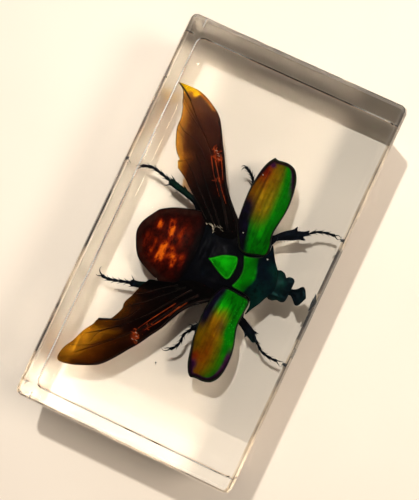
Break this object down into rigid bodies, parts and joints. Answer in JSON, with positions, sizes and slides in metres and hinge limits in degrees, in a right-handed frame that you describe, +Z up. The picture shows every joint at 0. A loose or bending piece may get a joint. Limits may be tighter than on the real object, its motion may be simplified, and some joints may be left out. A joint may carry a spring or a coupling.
{
  "type": "insect in resin block",
  "caption": "Clear cast resin block with bevelled, polished edges, holding a spread-wing green horned flower beetle; a desk specimen or paperweight.",
  "frame": {"origin": "centre of the block's flat base", "axes": "+X along the block's long side, +Y across it towards the insect's head, +Z up through the block's top face"},
  "size_m": [0.073, 0.041, 0.022],
  "materials": {
    "clear_resin": "clear cast resin, polished",
    "beetle_green": "glossy metallic green shell, copper and orange towards the wing cases' middle",
    "beetle_dark": "glossy blue-black shell of the head, thorax and legs",
    "beetle_abdomen": "dark red and orange-brown, softly banded, satin",
    "beetle_hind_wing": "thin amber-brown translucent membrane with darker veins"
  },
  "bodies": {
    "root": {"resin_block": "clear_resin"}
  },
  "joints": []
}
